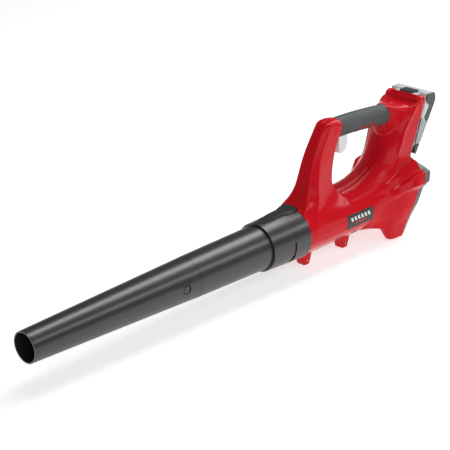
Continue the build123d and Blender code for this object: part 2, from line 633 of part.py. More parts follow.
with BuildPart() as intake_cover:
    add(cover_form(0.5, 0))
    add(cover_form(3.0, 2.6), mode=Mode.SUBTRACT)
    for i in range(LOUVRES):
        with BuildSketch(leaning_plane(COVER_FOOT_X, COVER_LEAN)):
            with Locations((0, 27 + i * 10.5)):
                with Locations((-21, 0), (21, 0)):
                    SlotOverall(36, 5)
        extrude(amount=6, both=True, mode=Mode.SUBTRACT)
    # four tabs that snap inside the casing's edge: a root on the cover's wall and a thinner tongue
    for y, low, high, root in ((43, 5.8, 8.0, -5.0), (-43, 5.8, 8.0, -5.0),
                               (30, 126.6, 128.8, 6.0), (-30, 126.6, 128.8, 6.0)):
        with BuildSketch(leaning_plane(REAR_FOOT_X, REAR_LEAN)):
            with Locations((y, (low + high) / 2)):
                Rectangle(9, high - low)
        extrude(amount=5)
        with BuildSketch(leaning_plane(REAR_FOOT_X, REAR_LEAN)):
            with Locations((y, (low + high + root) / 2)):
                Rectangle(8, high - low + abs(root))
        extrude(amount=-3)
save(intake_cover.part, "intake_cover")

# ---- name plates -----------------------------------------------------------------------------------
for name, start in (("badge_left", -16), ("badge_right", 164)):
    save(sector(-271, -204, BARREL_R, BARREL_R + 0.5, start, 32), name)

# ---- battery ---------------------------------------------------------------------------------------
CAP_TOP = 240.5
CHEEK = [(-388.6, 140), (-418.2, 232.5), (-418.2, CAP_TOP), (-437, CAP_TOP), (-441, 236),
         (-441, 225.1), pack_point(0, 0)]
SPLIT = 9.0                 # depth of the dark tray at the battery's back


def pack_form():
    """Outside of the whole battery."""
    core = [pack_point(0, 0), pack_point(0, PACK_BODY), pack_point(96, PACK_BODY), pack_point(96, 0)]
    block = pack_box(23, 86, PACK_BODY - 3, PACK_RAIL)
    lip = [pack_point(84, 20), pack_point(84, PACK_RAIL), (-405.6, CAP_TOP - 1.2), (-420, CAP_TOP - 1.2)]
    with BuildPart() as form:
        add(plate(core, -PACK_INNER_HALF, PACK_INNER_HALF))
        add(plate(CHEEK, -PACK_HALF, PACK_HALF))
        add(plate(block, -RAIL_HALF, RAIL_HALF))
        add(plate(lip, -RAIL_HALF, RAIL_HALF))
    return form.part


RELEASE = (-425.5, -406.0)
RELEASE_HALF = 13.2
with BuildPart() as pack_solid:
    add(pack_form())
    add(plate(pack_box(2.2, 97.5, 2.2, PACK_BODY - 2.2), -33, 33), mode=Mode.SUBTRACT)
    for y in BLADES_Y:
        add(plate(pack_box(20, 42, 28, 36.2), y - 1.2, y + 1.2), mode=Mode.SUBTRACT)
    add(plate([(RELEASE[0] - 0.4, 231), (RELEASE[0] - 0.4, 250), (RELEASE[1] + 0.4, 250),
               (RELEASE[1] + 0.4, 231)], -RELEASE_HALF - 0.4, RELEASE_HALF + 0.4), mode=Mode.SUBTRACT)

with BuildPart() as battery_case:
    add(pack_solid.part)
    add(plate(pack_box(-20, 96, -40, SPLIT), -60, 60), mode=Mode.SUBTRACT)
save(battery_case.part, "battery_case")

with BuildPart() as battery_tray:
    add(pack_solid.part)
    add(plate(pack_box(-20, 96, -40, SPLIT), -60, 60), mode=Mode.INTERSECT)
save(battery_tray.part, "battery_tray")

CELL_R = 9.1
with BuildPart() as battery_cells:
    for i in range(5):
        x, z = pack_point(12.5 + i * 18.7, PACK_BODY / 2)
        with BuildSketch(side_plane(x, 32.5, z)):
            Circle(CELL_R)
        extrude(amount=65)
save(battery_cells.part, "battery_cells")

with BuildPart() as release_button:
    add(plate([(RELEASE[0], 235), (RELEASE[0], 240.6), (RELEASE[0] + 3, 242), (RELEASE[1] - 2, 242),
               (RELEASE[1], 240.6), (RELEASE[1], 235)], -RELEASE_HALF, RELEASE_HALF))
save(release_button.part, "release_button")

save(coil(((RELEASE[0] + RELEASE[1]) / 2, 0, 231.05), (0, 0, 1), 3.9, 3.2, 0.6, 3), "release_spring")
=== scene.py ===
"""Looks of a cordless leaf blower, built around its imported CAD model.

The fields below work in millimetres in the row frame: +X is where the air leaves, +Y is the tool's left,
+Z is up.  Every moulded piece is the zero surface of a signed field, meshed by surface_net().
"""
import math

import bpy
import numpy as np
from mathutils import Matrix, Vector


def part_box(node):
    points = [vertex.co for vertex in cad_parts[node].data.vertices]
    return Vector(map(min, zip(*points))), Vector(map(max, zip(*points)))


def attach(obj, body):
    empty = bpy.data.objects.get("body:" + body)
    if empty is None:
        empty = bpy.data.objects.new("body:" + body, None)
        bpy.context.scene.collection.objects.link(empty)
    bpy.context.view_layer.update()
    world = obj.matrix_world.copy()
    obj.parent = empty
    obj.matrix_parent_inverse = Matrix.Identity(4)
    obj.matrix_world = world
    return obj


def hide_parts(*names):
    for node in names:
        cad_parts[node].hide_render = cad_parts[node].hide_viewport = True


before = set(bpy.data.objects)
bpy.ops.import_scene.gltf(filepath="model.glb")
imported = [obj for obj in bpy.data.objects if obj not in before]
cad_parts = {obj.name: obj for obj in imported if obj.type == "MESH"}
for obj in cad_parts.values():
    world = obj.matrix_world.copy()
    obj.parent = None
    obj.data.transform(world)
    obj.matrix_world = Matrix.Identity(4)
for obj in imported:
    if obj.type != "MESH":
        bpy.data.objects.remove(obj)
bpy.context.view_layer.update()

MM = 0.001
REST = {name: tuple(np.array(corner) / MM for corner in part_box(name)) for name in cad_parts}


# ---- mesh steps ------------------------------------------------------------------------------------
FINE = 1.5   # the red casing
PACK_STEP = 1.1                     # the battery's shell
PLATE_STEP = 0.7                    # the plates on the battery's sides
TRIM_STEP = 0.6                     # the red bead on the grip
COARSE = 3                          # fine steps in one step of the first, rough grid


# ---- driving dimensions ----------------------------------------------------------------------------
# the tube's axis and ends, from the frame
MOUTH_X = REST["nozzle"][1][0]
AXIS_Z = (REST["nozzle"][0][2] + REST["nozzle"][1][2]) / 2
COLLAR_REAR_X = REST["blower_tube"][0][0]
# the red casing
CASE_X = COLLAR_REAR_X - 0.6        # its front face, just behind the collar
CASE_WALL = 2.2 * FINE              # thick enough for the mesh step to hold both faces
SEAM = 0.22                         # half the gap between its halves
BARREL_R = 44.0
BARREL_END_X = -272.0               # where the flare starts
SPIGOT_R = 38.5                     # the ring that the collar turns on
SPIGOT_X = REST["case_left"][1][0]
REAR_FOOT_X = -345.0                # foot and lean of the rear plane
REAR_LEAN = 15.9
GRIP_WALL = 2.8
# the battery: its lean, the lower end of its back, its depths and half widths
PACK_LEAN = 30.7
PACK_FOOT = (-389.6, 138.4)
PACK_BODY = 26.0
PACK_RAIL = 37.6
PACK_HALF = REST["battery_case"][1][1]
PACK_INNER_HALF = 35.2
RAIL_HALF = 25.2


# ---- field helpers ---------------------------------------------------------------------------------
def curve(knots, values, at):
    """Smooth line through (knot, value) pairs: cubic pieces with limited slopes, so it never overshoots."""
    knots = np.asarray(knots, float)
    values = np.asarray(values, float)
    if knots[0] > knots[-1]:
        knots, values = knots[::-1], values[::-1]
    step = np.diff(knots)
    slope = np.diff(values) / step
    tangent = np.zeros(len(knots))
    tangent[0], tangent[-1] = slope[0], slope[-1]
    for i in range(1, len(knots) - 1):
        if slope[i - 1] * slope[i] > 0:
            w1 = 2 * step[i] + step[i - 1]
            w2 = step[i] + 2 * step[i - 1]
            tangent[i] = (w1 + w2) / (w1 / slope[i - 1] + w2 / slope[i])
    at = np.clip(at, knots[0], knots[-1])
    i = np.clip(np.searchsorted(knots, at) - 1, 0, len(knots) - 2)
    s = (at - knots[i]) / step[i]
    return (values[i] * (1 + 2 * s) * (1 - s) ** 2 + tangent[i] * step[i] * s * (1 - s) ** 2
            + values[i + 1] * s * s * (3 - 2 * s) - tangent[i + 1] * step[i] * s * s * (1 - s))


def join(a, b, soft):
    """Union of two fields with a fillet about soft wide."""
    h = np.maximum(soft - np.abs(a - b), 0) / soft
    return np.minimum(a, b) - h * h * soft / 4


def cross(a, b, soft):
    """Intersection of two fields with a rounded edge about soft wide."""
    return -join(-a, -b, soft)


def outline(u, v, points):
    """Distance to a closed outline in the (u, v) plane; a point's coordinates may be arrays."""
    nearest = np.full(u.shape, 1e9)
    inside = np.zeros(u.shape, bool)
    for i in range(len(points)):
        (ax, ay), (bx, by) = points[i - 1], points[i]
        ex, ey = bx - ax, by - ay
        wx, wy = u - ax, v - ay
        t = np.clip((wx * ex + wy * ey) / (ex * ex + ey * ey), 0, 1)
        nearest = np.minimum(nearest, (wx - ex * t) ** 2 + (wy - ey * t) ** 2)
        crosses = (ay > v) != (by > v)
        beyond = (u - ax) * (by - ay) < ex * (v - ay)
        inside ^= crosses & (beyond == (by > ay))
    return np.where(inside, -1, 1) * np.sqrt(nearest)


def mirrored(half):
    """Closed outline from the points of its +Y half, top to bottom."""
    return half + [(-y, z) for y, z in reversed(half)]


def between(x, low, high):
    return np.maximum(low - x, x - high)


def block(x, y, z, low, high, radius):
    """Box between two corners with rounded edges."""
    d = [between(q, a + radius, b - radius) for q, a, b in zip((x, y, z), low, high)]
    outside = np.sqrt(sum(np.maximum(q, 0) ** 2 for q in d))
    return outside + np.minimum(np.maximum(np.maximum(d[0], d[1]), d[2]), 0) - radius


def pack_axes(x, z):
    """Place of a point in the battery's own directions: along its slide, and forwards from its back."""
    lean = math.radians(PACK_LEAN)
    dx, dz = x - PACK_FOOT[0], z - PACK_FOOT[1]
    return dz * math.cos(lean) - dx * math.sin(lean), dx * math.cos(lean) + dz * math.sin(lean)


def pack_point(along, forward):
    lean = math.radians(PACK_LEAN)
    return (PACK_FOOT[0] - along * math.sin(lean) + forward * math.cos(lean),
            PACK_FOOT[1] + along * math.cos(lean) + forward * math.sin(lean))


# ---- meshing ---------------------------------------------------------------------------------------
def sampled(field, axes, step):
    """Field on a grid, worked out near its surface only; elsewhere it takes the nearest coarse value."""
    value = field(*np.meshgrid(*[axis[::COARSE] for axis in axes], indexing="ij"))
    for q, axis in enumerate(axes):
        nearest = np.minimum(np.round(np.arange(len(axis)) / COARSE).astype(int), value.shape[q] - 1)
        value = np.take(value, nearest, q)
    near = np.abs(value) < 1.8 * COARSE * step
    value[near] = field(*[grid[near] for grid in np.meshgrid(*axes, indexing="ij")])
    return value


def crossings(f):
    """For each axis: which grid edges cross the surface, which start inside it, and where they cross."""
    found = []
    for axis in range(3):
        first, second = [slice(None)] * 3, [slice(None)] * 3
        first[axis], second[axis] = slice(None, -1), slice(1, None)
        a, b = f[tuple(first)], f[tuple(second)]
        change = (a < 0) != (b < 0)
        found.append((change, a < 0, np.where(change, a / np.where(change, a - b, 1), 0)))
    return found


def cell_points(shape, found):
    """Middle of the crossings of each cell, in cells, and the index of each cell that has any."""
    total = np.zeros([n - 1 for n in shape] + [3])
    count = np.zeros([n - 1 for n in shape])
    for axis, (change, _, t) in enumerate(found):
        others = [q for q in range(3) if q != axis]
        for i in (0, 1):
            for j in (0, 1):
                pick = [slice(None)] * 3
                pick[others[0]] = slice(i, shape[others[0]] - 1 + i)
                pick[others[1]] = slice(j, shape[others[1]] - 1 + j)
                hit = change[tuple(pick)]
                count += hit
                total[..., axis] += np.where(hit, t[tuple(pick)], 0)
                total[..., others[0]] += hit * i
                total[..., others[1]] += hit * j
    used = count > 0
    index = np.full(count.shape, -1)
    index[used] = np.arange(used.sum())
    return total[used] / count[used][:, None] + np.argwhere(used), index


def cell_quads(shape, found, index):
    """A quad round each crossing edge, facing out of the form."""
    quads = []
    for axis, (change, starts_in, _) in enumerate(found):
        others = [(axis + 1) % 3, (axis + 2) % 3]
        at = np.argwhere(change)
        at = at[np.all([(at[:, q] > 0) & (at[:, q] < shape[q] - 1) for q in others], axis=0)]
        flip = ~starts_in[tuple(at.T)]
        corners = []
        for i, j in ((-1, -1), (0, -1), (0, 0), (-1, 0)):
            cell = at.copy()
            cell[:, others[0]] += i
            cell[:, others[1]] += j
            corners.append(index[tuple(cell.T)])
        quad = np.stack(corners, axis=1)
        quad[flip] = quad[flip][:, ::-1]
        quads.append(quad)
    return np.concatenate(quads)


def gradient(field, p, reach):
    g = np.zeros_like(p)
    for q in range(3):
        shift = np.zeros(3)
        shift[q] = reach
        g[:, q] = (field(*(p + shift).T) - field(*(p - shift).T)) / (2 * reach)
    return g


def surface_net(field, low, high, step):
    """Quad mesh of a field's zero surface, pulled onto the surface, with normals from the field."""
    low = np.asarray(low, float)
    shape = [int(math.ceil((b - a) / step)) + 1 for a, b in zip(low, high)]
    f = sampled(field, [a + step * np.arange(n) for a, n in zip(low, shape)], step)
    found = crossings(np.where(np.abs(f) < 1e-9, 1e-9, f))
    cells, index = cell_points(shape, found)
    points = low + cells * step
    for _ in range(2):
        g = gradient(field, points, 0.35 * step)
        size = np.maximum((g * g).sum(1), 0.25)
        move = np.clip(field(*points.T) / size, -0.3 * step, 0.3 * step)
        points = points - move[:, None] * g
    normals = gradient(field, points, 0.5 * step)
    normals /= np.maximum(np.linalg.norm(normals, axis=1), 1e-6)[:, None]
    return points, cell_quads(shape, found, index), normals


def piece(name, points, faces, normals, body, material, slot, replaces=()):
    """Blender object from a mesh in millimetres that rides on a body."""
    mesh = bpy.data.meshes.new(name)
    mesh.from_pydata((points * MM).tolist(), [], faces.tolist())
    mesh.polygons.foreach_set("use_smooth", [True] * len(mesh.polygons))
    mesh.update()
    if normals is not None:
        mesh.normals_split_custom_set_from_vertices(normals.tolist())
    mesh.materials.append(material)
    obj = bpy.data.objects.new(name, mesh)
    bpy.context.scene.collection.objects.link(obj)
    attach(obj, body)
    if replaces:
        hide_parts(*replaces)
    return obj


def moulding(name, field, low, high, step, body, material, slot, replaces=()):
    return piece(name, *surface_net(field, low, high, step), body, material, slot, replaces)


# ---- materials -------------------------------------------------------------------------------------
def noise(nodes, links, place, scale, detail):
    texture = nodes.new("ShaderNodeTexNoise")
    texture.inputs["Scale"].default_value = scale
    texture.inputs["Detail"].default_value = detail
    links.new(place.outputs["Object"], texture.inputs["Vector"])
    return texture


def painted_edge_highlight(nodes, links, colour, colour_out, edge_highlight):
    """Lightens a colour along the outward edges: a painted highlight where the edges would catch the light.
    """
    edge = nodes.new("ShaderNodeNewGeometry")
    highlight_amount = nodes.new("ShaderNodeMapRange")
    highlight_amount.inputs["From Min"].default_value = 0.53
    highlight_amount.inputs["From Max"].default_value = 0.62
    highlight_amount.inputs["To Max"].default_value = edge_highlight
    links.new(edge.outputs["Pointiness"], highlight_amount.inputs["Value"])
    highlight_mix = nodes.new("ShaderNodeMix")
    highlight_mix.data_type = "RGBA"
    links.new(highlight_amount.outputs["Result"], highlight_mix.inputs["Factor"])
    links.new(colour_out, highlight_mix.inputs[6])
    highlight_mix.inputs[7].default_value = [min(1, c * 1.6 + 0.03) for c in colour] + [1]
    return highlight_mix.outputs[2]


def plastic(name, colour, roughness, specular=0.5, mottle=0.06, grain=0.0, grain_scale=900.0, edge_highlight=0.0):
    """Moulded plastic: faint colour mottle, uneven gloss and a fine surface grain, all in object space."""
    material = bpy.data.materials.new(name)
    material.use_nodes = True
    nodes, links = material.node_tree.nodes, material.node_tree.links
    shader = nodes["Principled BSDF"]
    shader.inputs["Specular IOR Level"].default_value = specular
    place = nodes.new("ShaderNodeTexCoord")
    cloud = noise(nodes, links, place, 28.0, 4.0)
    tint = nodes.new("ShaderNodeValToRGB")
    dark = [c * (1 - mottle) for c in colour] + [1]
    light = [min(1, c * (1 + mottle)) for c in colour] + [1]
    tint.color_ramp.elements[0].position, tint.color_ramp.elements[0].color = 0.3, dark
    tint.color_ramp.elements[1].position, tint.color_ramp.elements[1].color = 0.7, light
    links.new(cloud.outputs["Fac"], tint.inputs["Fac"])
    colour_out = tint.outputs["Color"]
    # painted highlight: the outward edges are lightened as if lit
    if edge_highlight:
        colour_out = painted_edge_highlight(nodes, links, colour, colour_out, edge_highlight)
    links.new(colour_out, shader.inputs["Base Color"])
    gloss = noise(nodes, links, place, 60.0, 3.0)
    uneven = nodes.new("ShaderNodeMapRange")
    uneven.inputs["To Min"].default_value = roughness * 0.85
    uneven.inputs["To Max"].default_value = min(1, roughness * 1.15)
    links.new(gloss.outputs["Fac"], uneven.inputs["Value"])
    links.new(uneven.outputs["Result"], shader.inputs["Roughness"])
    if grain:
        fine = noise(nodes, links, place, grain_scale, 3.0)
        bump = nodes.new("ShaderNodeBump")
        bump.inputs["Strength"].default_value = grain
        bump.inputs["Distance"].default_value = 0.0004
        links.new(fine.outputs["Fac"], bump.inputs["Height"])
        links.new(bump.outputs["Normal"], shader.inputs["Normal"])
    return material


def metal(name, colour, roughness, scale=140.0):
    """Turned or drawn metal with streaky gloss."""
    material = plastic(name, colour, roughness, mottle=0.1, grain=0.08, grain_scale=scale * 6)
    material.node_tree.nodes["Principled BSDF"].inputs["Metallic"].default_value = 1.0
    return material


def striped(material, colour, period, turn):
    """Adds slanted printed stripes to a plastic: their colour, their period in metres and their slant."""
    nodes, links = material.node_tree.nodes, material.node_tree.links
    shader = nodes["Principled BSDF"]
    under = shader.inputs["Base Color"].links[0].from_socket
    place = nodes.new("ShaderNodeTexCoord")
    aim = nodes.new("ShaderNodeMapping")
    aim.inputs["Rotation"].default_value = (0, turn, 0)
    wave = nodes.new("ShaderNodeTexWave")
    wave.inputs["Scale"].default_value = 2 * math.pi / 20 / period
    print_edge = nodes.new("ShaderNodeMapRange")
    print_edge.inputs["From Min"].default_value = 0.66
    print_edge.inputs["From Max"].default_value = 0.74
    ink = nodes.new("ShaderNodeMix")
    ink.data_type = "RGBA"
    ink.inputs[7].default_value = (*colour, 1)
    links.new(place.outputs["Object"], aim.inputs["Vector"])
    links.new(aim.outputs["Vector"], wave.inputs["Vector"])
    links.new(wave.outputs["Fac"], print_edge.inputs["Value"])
    links.new(print_edge.outputs["Result"], ink.inputs["Factor"])
    links.new(under, ink.inputs[6])
    links.new(ink.outputs[2], shader.inputs["Base Color"])


# the red gets a painted highlight that lightens its outward edges
RED = plastic("red_gloss", (0.6, 0.0045, 0.012), 0.2, specular=0.17, mottle=0.02, grain=0.02,
              grain_scale=500, edge_highlight=0.12)
TUBE = plastic("tube_black", (0.014, 0.0144, 0.0152), 0.32, specular=0.85, mottle=0.08, grain=0.12,
               grain_scale=1400)
RUBBER = plastic("grip_rubber", (0.072, 0.078, 0.08), 0.62, specular=0.35, mottle=0.12, grain=0.55,
                 grain_scale=1500)
PAD = plastic("pad_rubber", (0.072, 0.078, 0.08), 0.66, specular=0.3, mottle=0.1, grain=0.5,
              grain_scale=1500)
COVER = plastic("cover_grey", (0.082, 0.082, 0.078), 0.42, mottle=0.06, grain=0.2, grain_scale=1300)
DARK = plastic("dark_plastic", (0.03, 0.031, 0.032), 0.4, mottle=0.08, grain=0.2, grain_scale=1200)
LIGHT = plastic("light_grey", (0.62, 0.63, 0.64), 0.36, mottle=0.02, grain=0.1, grain_scale=1300)
TRIGGER = plastic("trigger_grey", (0.74, 0.745, 0.75), 0.34, mottle=0.02, grain=0.08, grain_scale=1300)
TRAY = plastic("tray_grey", (0.062, 0.066, 0.06), 0.45, mottle=0.08, grain=0.25, grain_scale=1300)
BADGE = plastic("badge_black", (0.012, 0.012, 0.013), 0.25, mottle=0.1, grain=0.05, grain_scale=900)
INNER = plastic("inner_plastic", (0.045, 0.045, 0.047), 0.5, mottle=0.1, grain=0.2)
BOARD = plastic("board_green", (0.01, 0.09, 0.035), 0.4, mottle=0.2, grain=0.3, grain_scale=400)
WIRE = plastic("wire_jacket", (0.22, 0.012, 0.01), 0.45, mottle=0.08, grain=0.1)
CELL = plastic("cell_wrap", (0.02, 0.09, 0.26), 0.35, mottle=0.06, grain=0.05)
PANEL_BLUE = plastic("panel_blue_grey", (0.16, 0.19, 0.22), 0.38, mottle=0.03, grain=0.1, grain_scale=1300)
striped(PANEL_BLUE, (0.7, 0.72, 0.74), 0.0042, math.radians(20))
MARK_WHITE = plastic("mark_white", (0.8, 0.8, 0.8), 0.4, mottle=0.01)
MARK_RED = plastic("mark_red", (0.6, 0.01, 0.02), 0.4, mottle=0.01)
STEEL = metal("steel", (0.46, 0.46, 0.47), 0.32)
CORE = metal("motor_steel", (0.3, 0.3, 0.31), 0.42)
MAGNET = metal("magnet", (0.09, 0.09, 0.1), 0.5)
COPPER = metal("copper", (0.72, 0.3, 0.14), 0.34)
BRASS = metal("brass", (0.7, 0.5, 0.2), 0.34)
SPRING = metal("spring_steel", (0.55, 0.55, 0.56), 0.28)

NODE_MATERIALS = {
    "case_screws": STEEL, "fan_duct": INNER, "duct_rings": RUBBER, "motor_can": CORE,
    "motor_end_cap": INNER, "motor_bearings": BRASS, "motor_magnets": MAGNET, "armature": COPPER,
    "motor_shaft": STEEL, "impeller": DARK, "impeller_nut": BRASS, "motor_fairing": INNER,
    "trigger_pin": STEEL, "trigger_spring": SPRING, "switch_body": DARK, "switch_plunger": LIGHT,
    "motor_leads": WIRE, "battery_leads": WIRE, "terminal_block": DARK, "terminal_blades": BRASS,
    "control_board": BOARD, "battery_cells": CELL, "release_spring": SPRING,
    "nozzle_button_spring": SPRING, "case_left": RED, "case_right": RED, "blower_tube": TUBE,
    "nozzle": TUBE, "nozzle_button": TUBE, "grip_sleeve": RUBBER, "grip_pad": PAD, "trigger": TRIGGER,
    "intake_cover": COVER, "badge_left": BADGE, "badge_right": BADGE, "battery_case": LIGHT,
    "battery_tray": TRAY, "release_button": DARK,
}
for node, material in NODE_MATERIALS.items():
    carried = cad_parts[node]
    if not carried.data.materials:
        carried.data.materials.append(material)
    for material_slot in carried.material_slots:
        material_slot.material = material


# ---- red casing ------------------------------------------------------------------------------------
# heights up the strut, and its plan outline there: front x, front half width, side x, side half width,
# rear x, rear half width
STRUT_Z = (66, 90, 106, 122, 138, 153, 184, 208, 232, 246)
STRUT_FRONT = (-112, -114.5, -116, -129, -137.5, -142.5, -153.5, -166, -182, -195)
STRUT_FRONT_W = (30, 28, 26.5, 20, 15.5, 13.8, 12.0, 10.5, 9, 8)
STRUT_SIDE = (-128, -134, -140, -148, -152, -156, -164, -176, -190, -199)
STRUT_SIDE_W = (39, 37, 33.6, 29.4, 25, 22.5, 18.6, 17.2, 16.2, 15.4)
STRUT_REAR = (-260, -240, -219, -204.5, -198, -199, -204.5, -214, -224, -222)
STRUT_REAR_W = (39, 32, 25, 18.5, 15.5, 14.8, 15.2, 15.2, 15.4, 14.6)
# the handle opening behind and below the hand: a superellipse, with its middle, half sizes and power
OPENING_X, OPENING_Z = -214.0, 225.0
OPENING_HALF_X, OPENING_HALF_Z = 128.5, 108.0
OPENING_POWER = 2.6
# heights up the tower: x of its rear edge, how its flank widens per mm behind the nose, and its half
# width at the crease where the flank ends
TOWER_Z = (60, 108, 117, 124, 135, 152, 164, 180, 205, 218, 232, 260)
TOWER_REAR = (-335, -356, -363, -371, -380.5, -384, -387.5, -393, -403, -408, -414, -424)
FLANK = (0.8, 0.9, 0.95, 1.0, 1.05, 1.25, 1.4, 1.45, 0.84, 0.63, 0.51, 0.5)
CREASE_Y = (33, 33.5, 34.6, 35.5, 36.4, 37.6, 38.4, 39, 39.4, 39.6, 39.6, 39.6)
CREASE_STEP = 1.0           # how far the surface drops behind the crease
NOSE_HALF = 15              # half width of the tower's nose
TOWER_FRONT_X = -204
TOWER_HALF = 39.6           # half width at the top
TOWER_TOP_Z = 225.2
# the oval swelling round the handle's root: its height, and half sizes across and up
BOSS_Z, BOSS_HALF_Y, BOSS_HALF_Z = 210, 29.5, 31
# the riser behind the tower's top: its front face up the height, its back, and the ear at each end
BROW_Z = (214, 224, 227.5, 229, 233.4, 235, 238, 242)
BROW_X = (-393, -393.4, -395.0, -396.4, -397.6, -399.8, -401.6, -402)
BROW_BACK_X = -414.5
EAR_X, EAR_Y, EAR_Z, EAR_R = -402, 32.2, 232.6, 6.6
# the rear body: half outlines (y, z) from the barrel to the leaning rim, at these shares of the way back
FLARE_SHARE = (0, 0.33, 0.55, 0.8, 1)
FLARE = [
    ((9, 109), (11, 114), (13, 119), (16, 127), (18, 132)),
    ((20, 105.2), (28, 111), (33, 116), (42, 125.5), (46, 130.5)),
    ((29, 99), (36, 103), (42, 107.5), (51, 117.5), (55, 123)),
    ((37, 89.8), (43, 92), (47, 99), (55, 112.5), (58, 119)),
    ((41, 82), (45.5, 88), (53, 97), (69, 113), (71, 116)),
    ((43.2, 74), (46.5, 81), (56, 87), (73, 97), (74.5, 97)),
    ((43.6, 60), (46, 70), (51, 77), (60.5, 84), (64, 84)),
    ((40.6, 49), (46.5, 50), (52, 53), (59, 55), (61, 56)),
    ((36, 40.7), (43, 38), (50, 27), (52, 28), (53, 29)),
    ((28, 32), (42, 25), (47, 2.6), (48.5, 0.4), (49, 0.4)),
    ((18, 25.9), (33, 24), (39.5, 2.6), (38, 0.4), (37, 0.4)),
    ((7, 22.6), (20, 27), (28, 22), (28, 18), (27, 16)),
]
# the two flats along the underside of the barrel: how far each faces down, and its distance from the axis
FLATS = ((33, 42.35), (48, 41.0))
HANDLE_X = (-203, -250, -300, -352)
HANDLE_Z = (222.0, 221.5, 218.5, 213.0)
HANDLE_HALF_Z = (15.0, 15.0, 15.2, 15.6)
HANDLE_HALF_Y = (12.6, 12.4, 12.4, 12.8)
FEET_X = (-141, -238)
FOOT_HALF = 9
# the strut's top edge in side view, and the trigger's slot under the handle
STRUT_TOP_X = (-230, -221, -205, -190, -180)
STRUT_TOP_Z = (234, 237.5, 240.5, 240.5, 236)
TRIGGER_SLOT = ((-251, -8, 185), (-219, 7.9, 215))
# how far out and up the mesh grid of a casing half reaches
HALF_REACH = 78
CASING_TOP = 243


def rise(heights, values, z):
    """How fast a value changes with height."""
    return curve(heights, values, z + 0.5) - curve(heights, values, z - 0.5)


def sloped(x, z, heights, places, facing):
    """Distance to a wall across the tool whose x changes with height; facing is 1 for a front wall."""
    return facing * (x - curve(heights, places, z)) / np.hypot(1, rise(heights, places, z))


def opening(x, z):
    """Distance into the handle opening from its round rear and lower edge."""
    u = np.maximum(OPENING_X - x, 1e-3) / OPENING_HALF_X
    v = np.maximum(OPENING_Z - z, 1e-3) / OPENING_HALF_Z
    g = (u ** OPENING_POWER + v ** OPENING_POWER) ** (1 / OPENING_POWER)
    less = OPENING_POWER - 1
    steep = np.hypot((u / g) ** less / OPENING_HALF_X, (v / g) ** less / OPENING_HALF_Z)
    return (1 - g) / steep


def side_wall(x, a, z, heights, x0, w0, x1, w1):
    """Distance to the wall between two upright edges, each given by its x and half width up the height."""
    ax, aw = curve(heights, x0, z), curve(heights, w0, z)
    bx, bw = curve(heights, x1, z), curve(heights, w1, z)
    length = np.hypot(bx - ax, bw - aw)
    tilt = (rise(heights, w0, z) * (ax - bx) - rise(heights, x0, z) * (bw - aw)) / length
    return ((a - aw) * (ax - bx) - (ax - x) * (bw - aw)) / length / np.hypot(1, tilt)


def handle(x, a, z, grow):
    half_z = curve(HANDLE_X, HANDLE_HALF_Z, x) + grow
    half_y = curve(HANDLE_X, HANDLE_HALF_Y, x) + grow
    u, v = a / half_y, (z - curve(HANDLE_X, HANDLE_Z, x)) / half_z
    return (np.hypot(u, v) - 1) * np.minimum(half_y, half_z)


def strut(x, a, z):
    front = sloped(x, z, STRUT_Z, STRUT_FRONT, 1)
    side_1 = side_wall(x, a, z, STRUT_Z, STRUT_FRONT, STRUT_FRONT_W, STRUT_SIDE, STRUT_SIDE_W)
    side_2 = side_wall(x, a, z, STRUT_Z, STRUT_SIDE, STRUT_SIDE_W, STRUT_REAR, STRUT_REAR_W)
    rear = sloped(x, z, STRUT_Z, STRUT_REAR, -1)
    top = z - curve(STRUT_TOP_X, STRUT_TOP_Z, x)
    form = cross(cross(front, side_1, 1.6), side_2, 1.6)
    form = cross(form, rear, 4)
    return cross(cross(form, top, 9), 70 - z, 1)


def tower(x, a, z):
    """Column behind the handle: a round nose, flanks that widen to a crease, and flat sides behind it."""
    nose = np.maximum(opening(x, z), x - TOWER_FRONT_X)
    widening = curve(TOWER_Z, FLANK, z)
    widest = curve(TOWER_Z, CREASE_Y, z)
    flank = (a - NOSE_HALF + nose * widening) / np.hypot(1, widening)
    behind = -nose - (widest - NOSE_HALF) / widening
    side = a - widest + CREASE_STEP * np.clip(behind / 9, 0, 1)
    front = cross(cross(nose, flank, 14), side, 0.8)
    rear = sloped(x, z, TOWER_Z, TOWER_REAR, -1)
    ahead = np.clip(x + 394, 0, 50)
    u = (a / TOWER_HALF) ** 2
    top = (z - TOWER_TOP_Z - 6.5 * u - ahead * (0.12 - 0.55 * u)) / 1.1
    form = cross(front, rear, 2.5)
    form = cross(cross(form, top, 5), 80 - z, 1)
    fade = np.clip((z - 122) / 14, 0, 1) * np.clip((214 - z) / 14, 0, 1)
    ridge = 0.9 * np.exp(-(behind / 1.8) ** 2) * fade * (a > 25)
    return form - boss(x, a, z) - ridge


def boss(x, a, z):
    """Low oval swelling of the tower round the handle's root."""
    rim = (np.hypot(a / BOSS_HALF_Y, (z - BOSS_Z) / BOSS_HALF_Z) - 1) * 30
    return 1.3 * np.clip(0.5 - rim / 4, 0, 1) * np.clip((x + 386) / 8, 0, 1)


def brow(x, a, z):
    """Riser behind the tower's top, rounded into an ear at each end."""
    face = sloped(x, z, BROW_Z, BROW_X, 1)
    top = z - curve((-416, -412, -404.6, -399), (236.5, 238.6, 239.6, 238.6), x)
    back = -(x - BROW_BACK_X - (z - 232) * 0.25)
    middle = cross(cross(face, top, 1.5), back, 3)
    ear = np.sqrt((x - EAR_X) ** 2 * 0.8 + (a - EAR_Y) ** 2 + np.maximum(z - EAR_Z, 0) ** 2) - EAR_R
    ear = cross(ear, back, 3)
    return cross(join(cross(middle, a - 36.5, 3), ear, 3), 214 - z, 1)


def rear_plane(x, z):
    lean = math.radians(REAR_LEAN)
    return (REAR_FOOT_X - x) * math.cos(lean) - z * math.sin(lean)


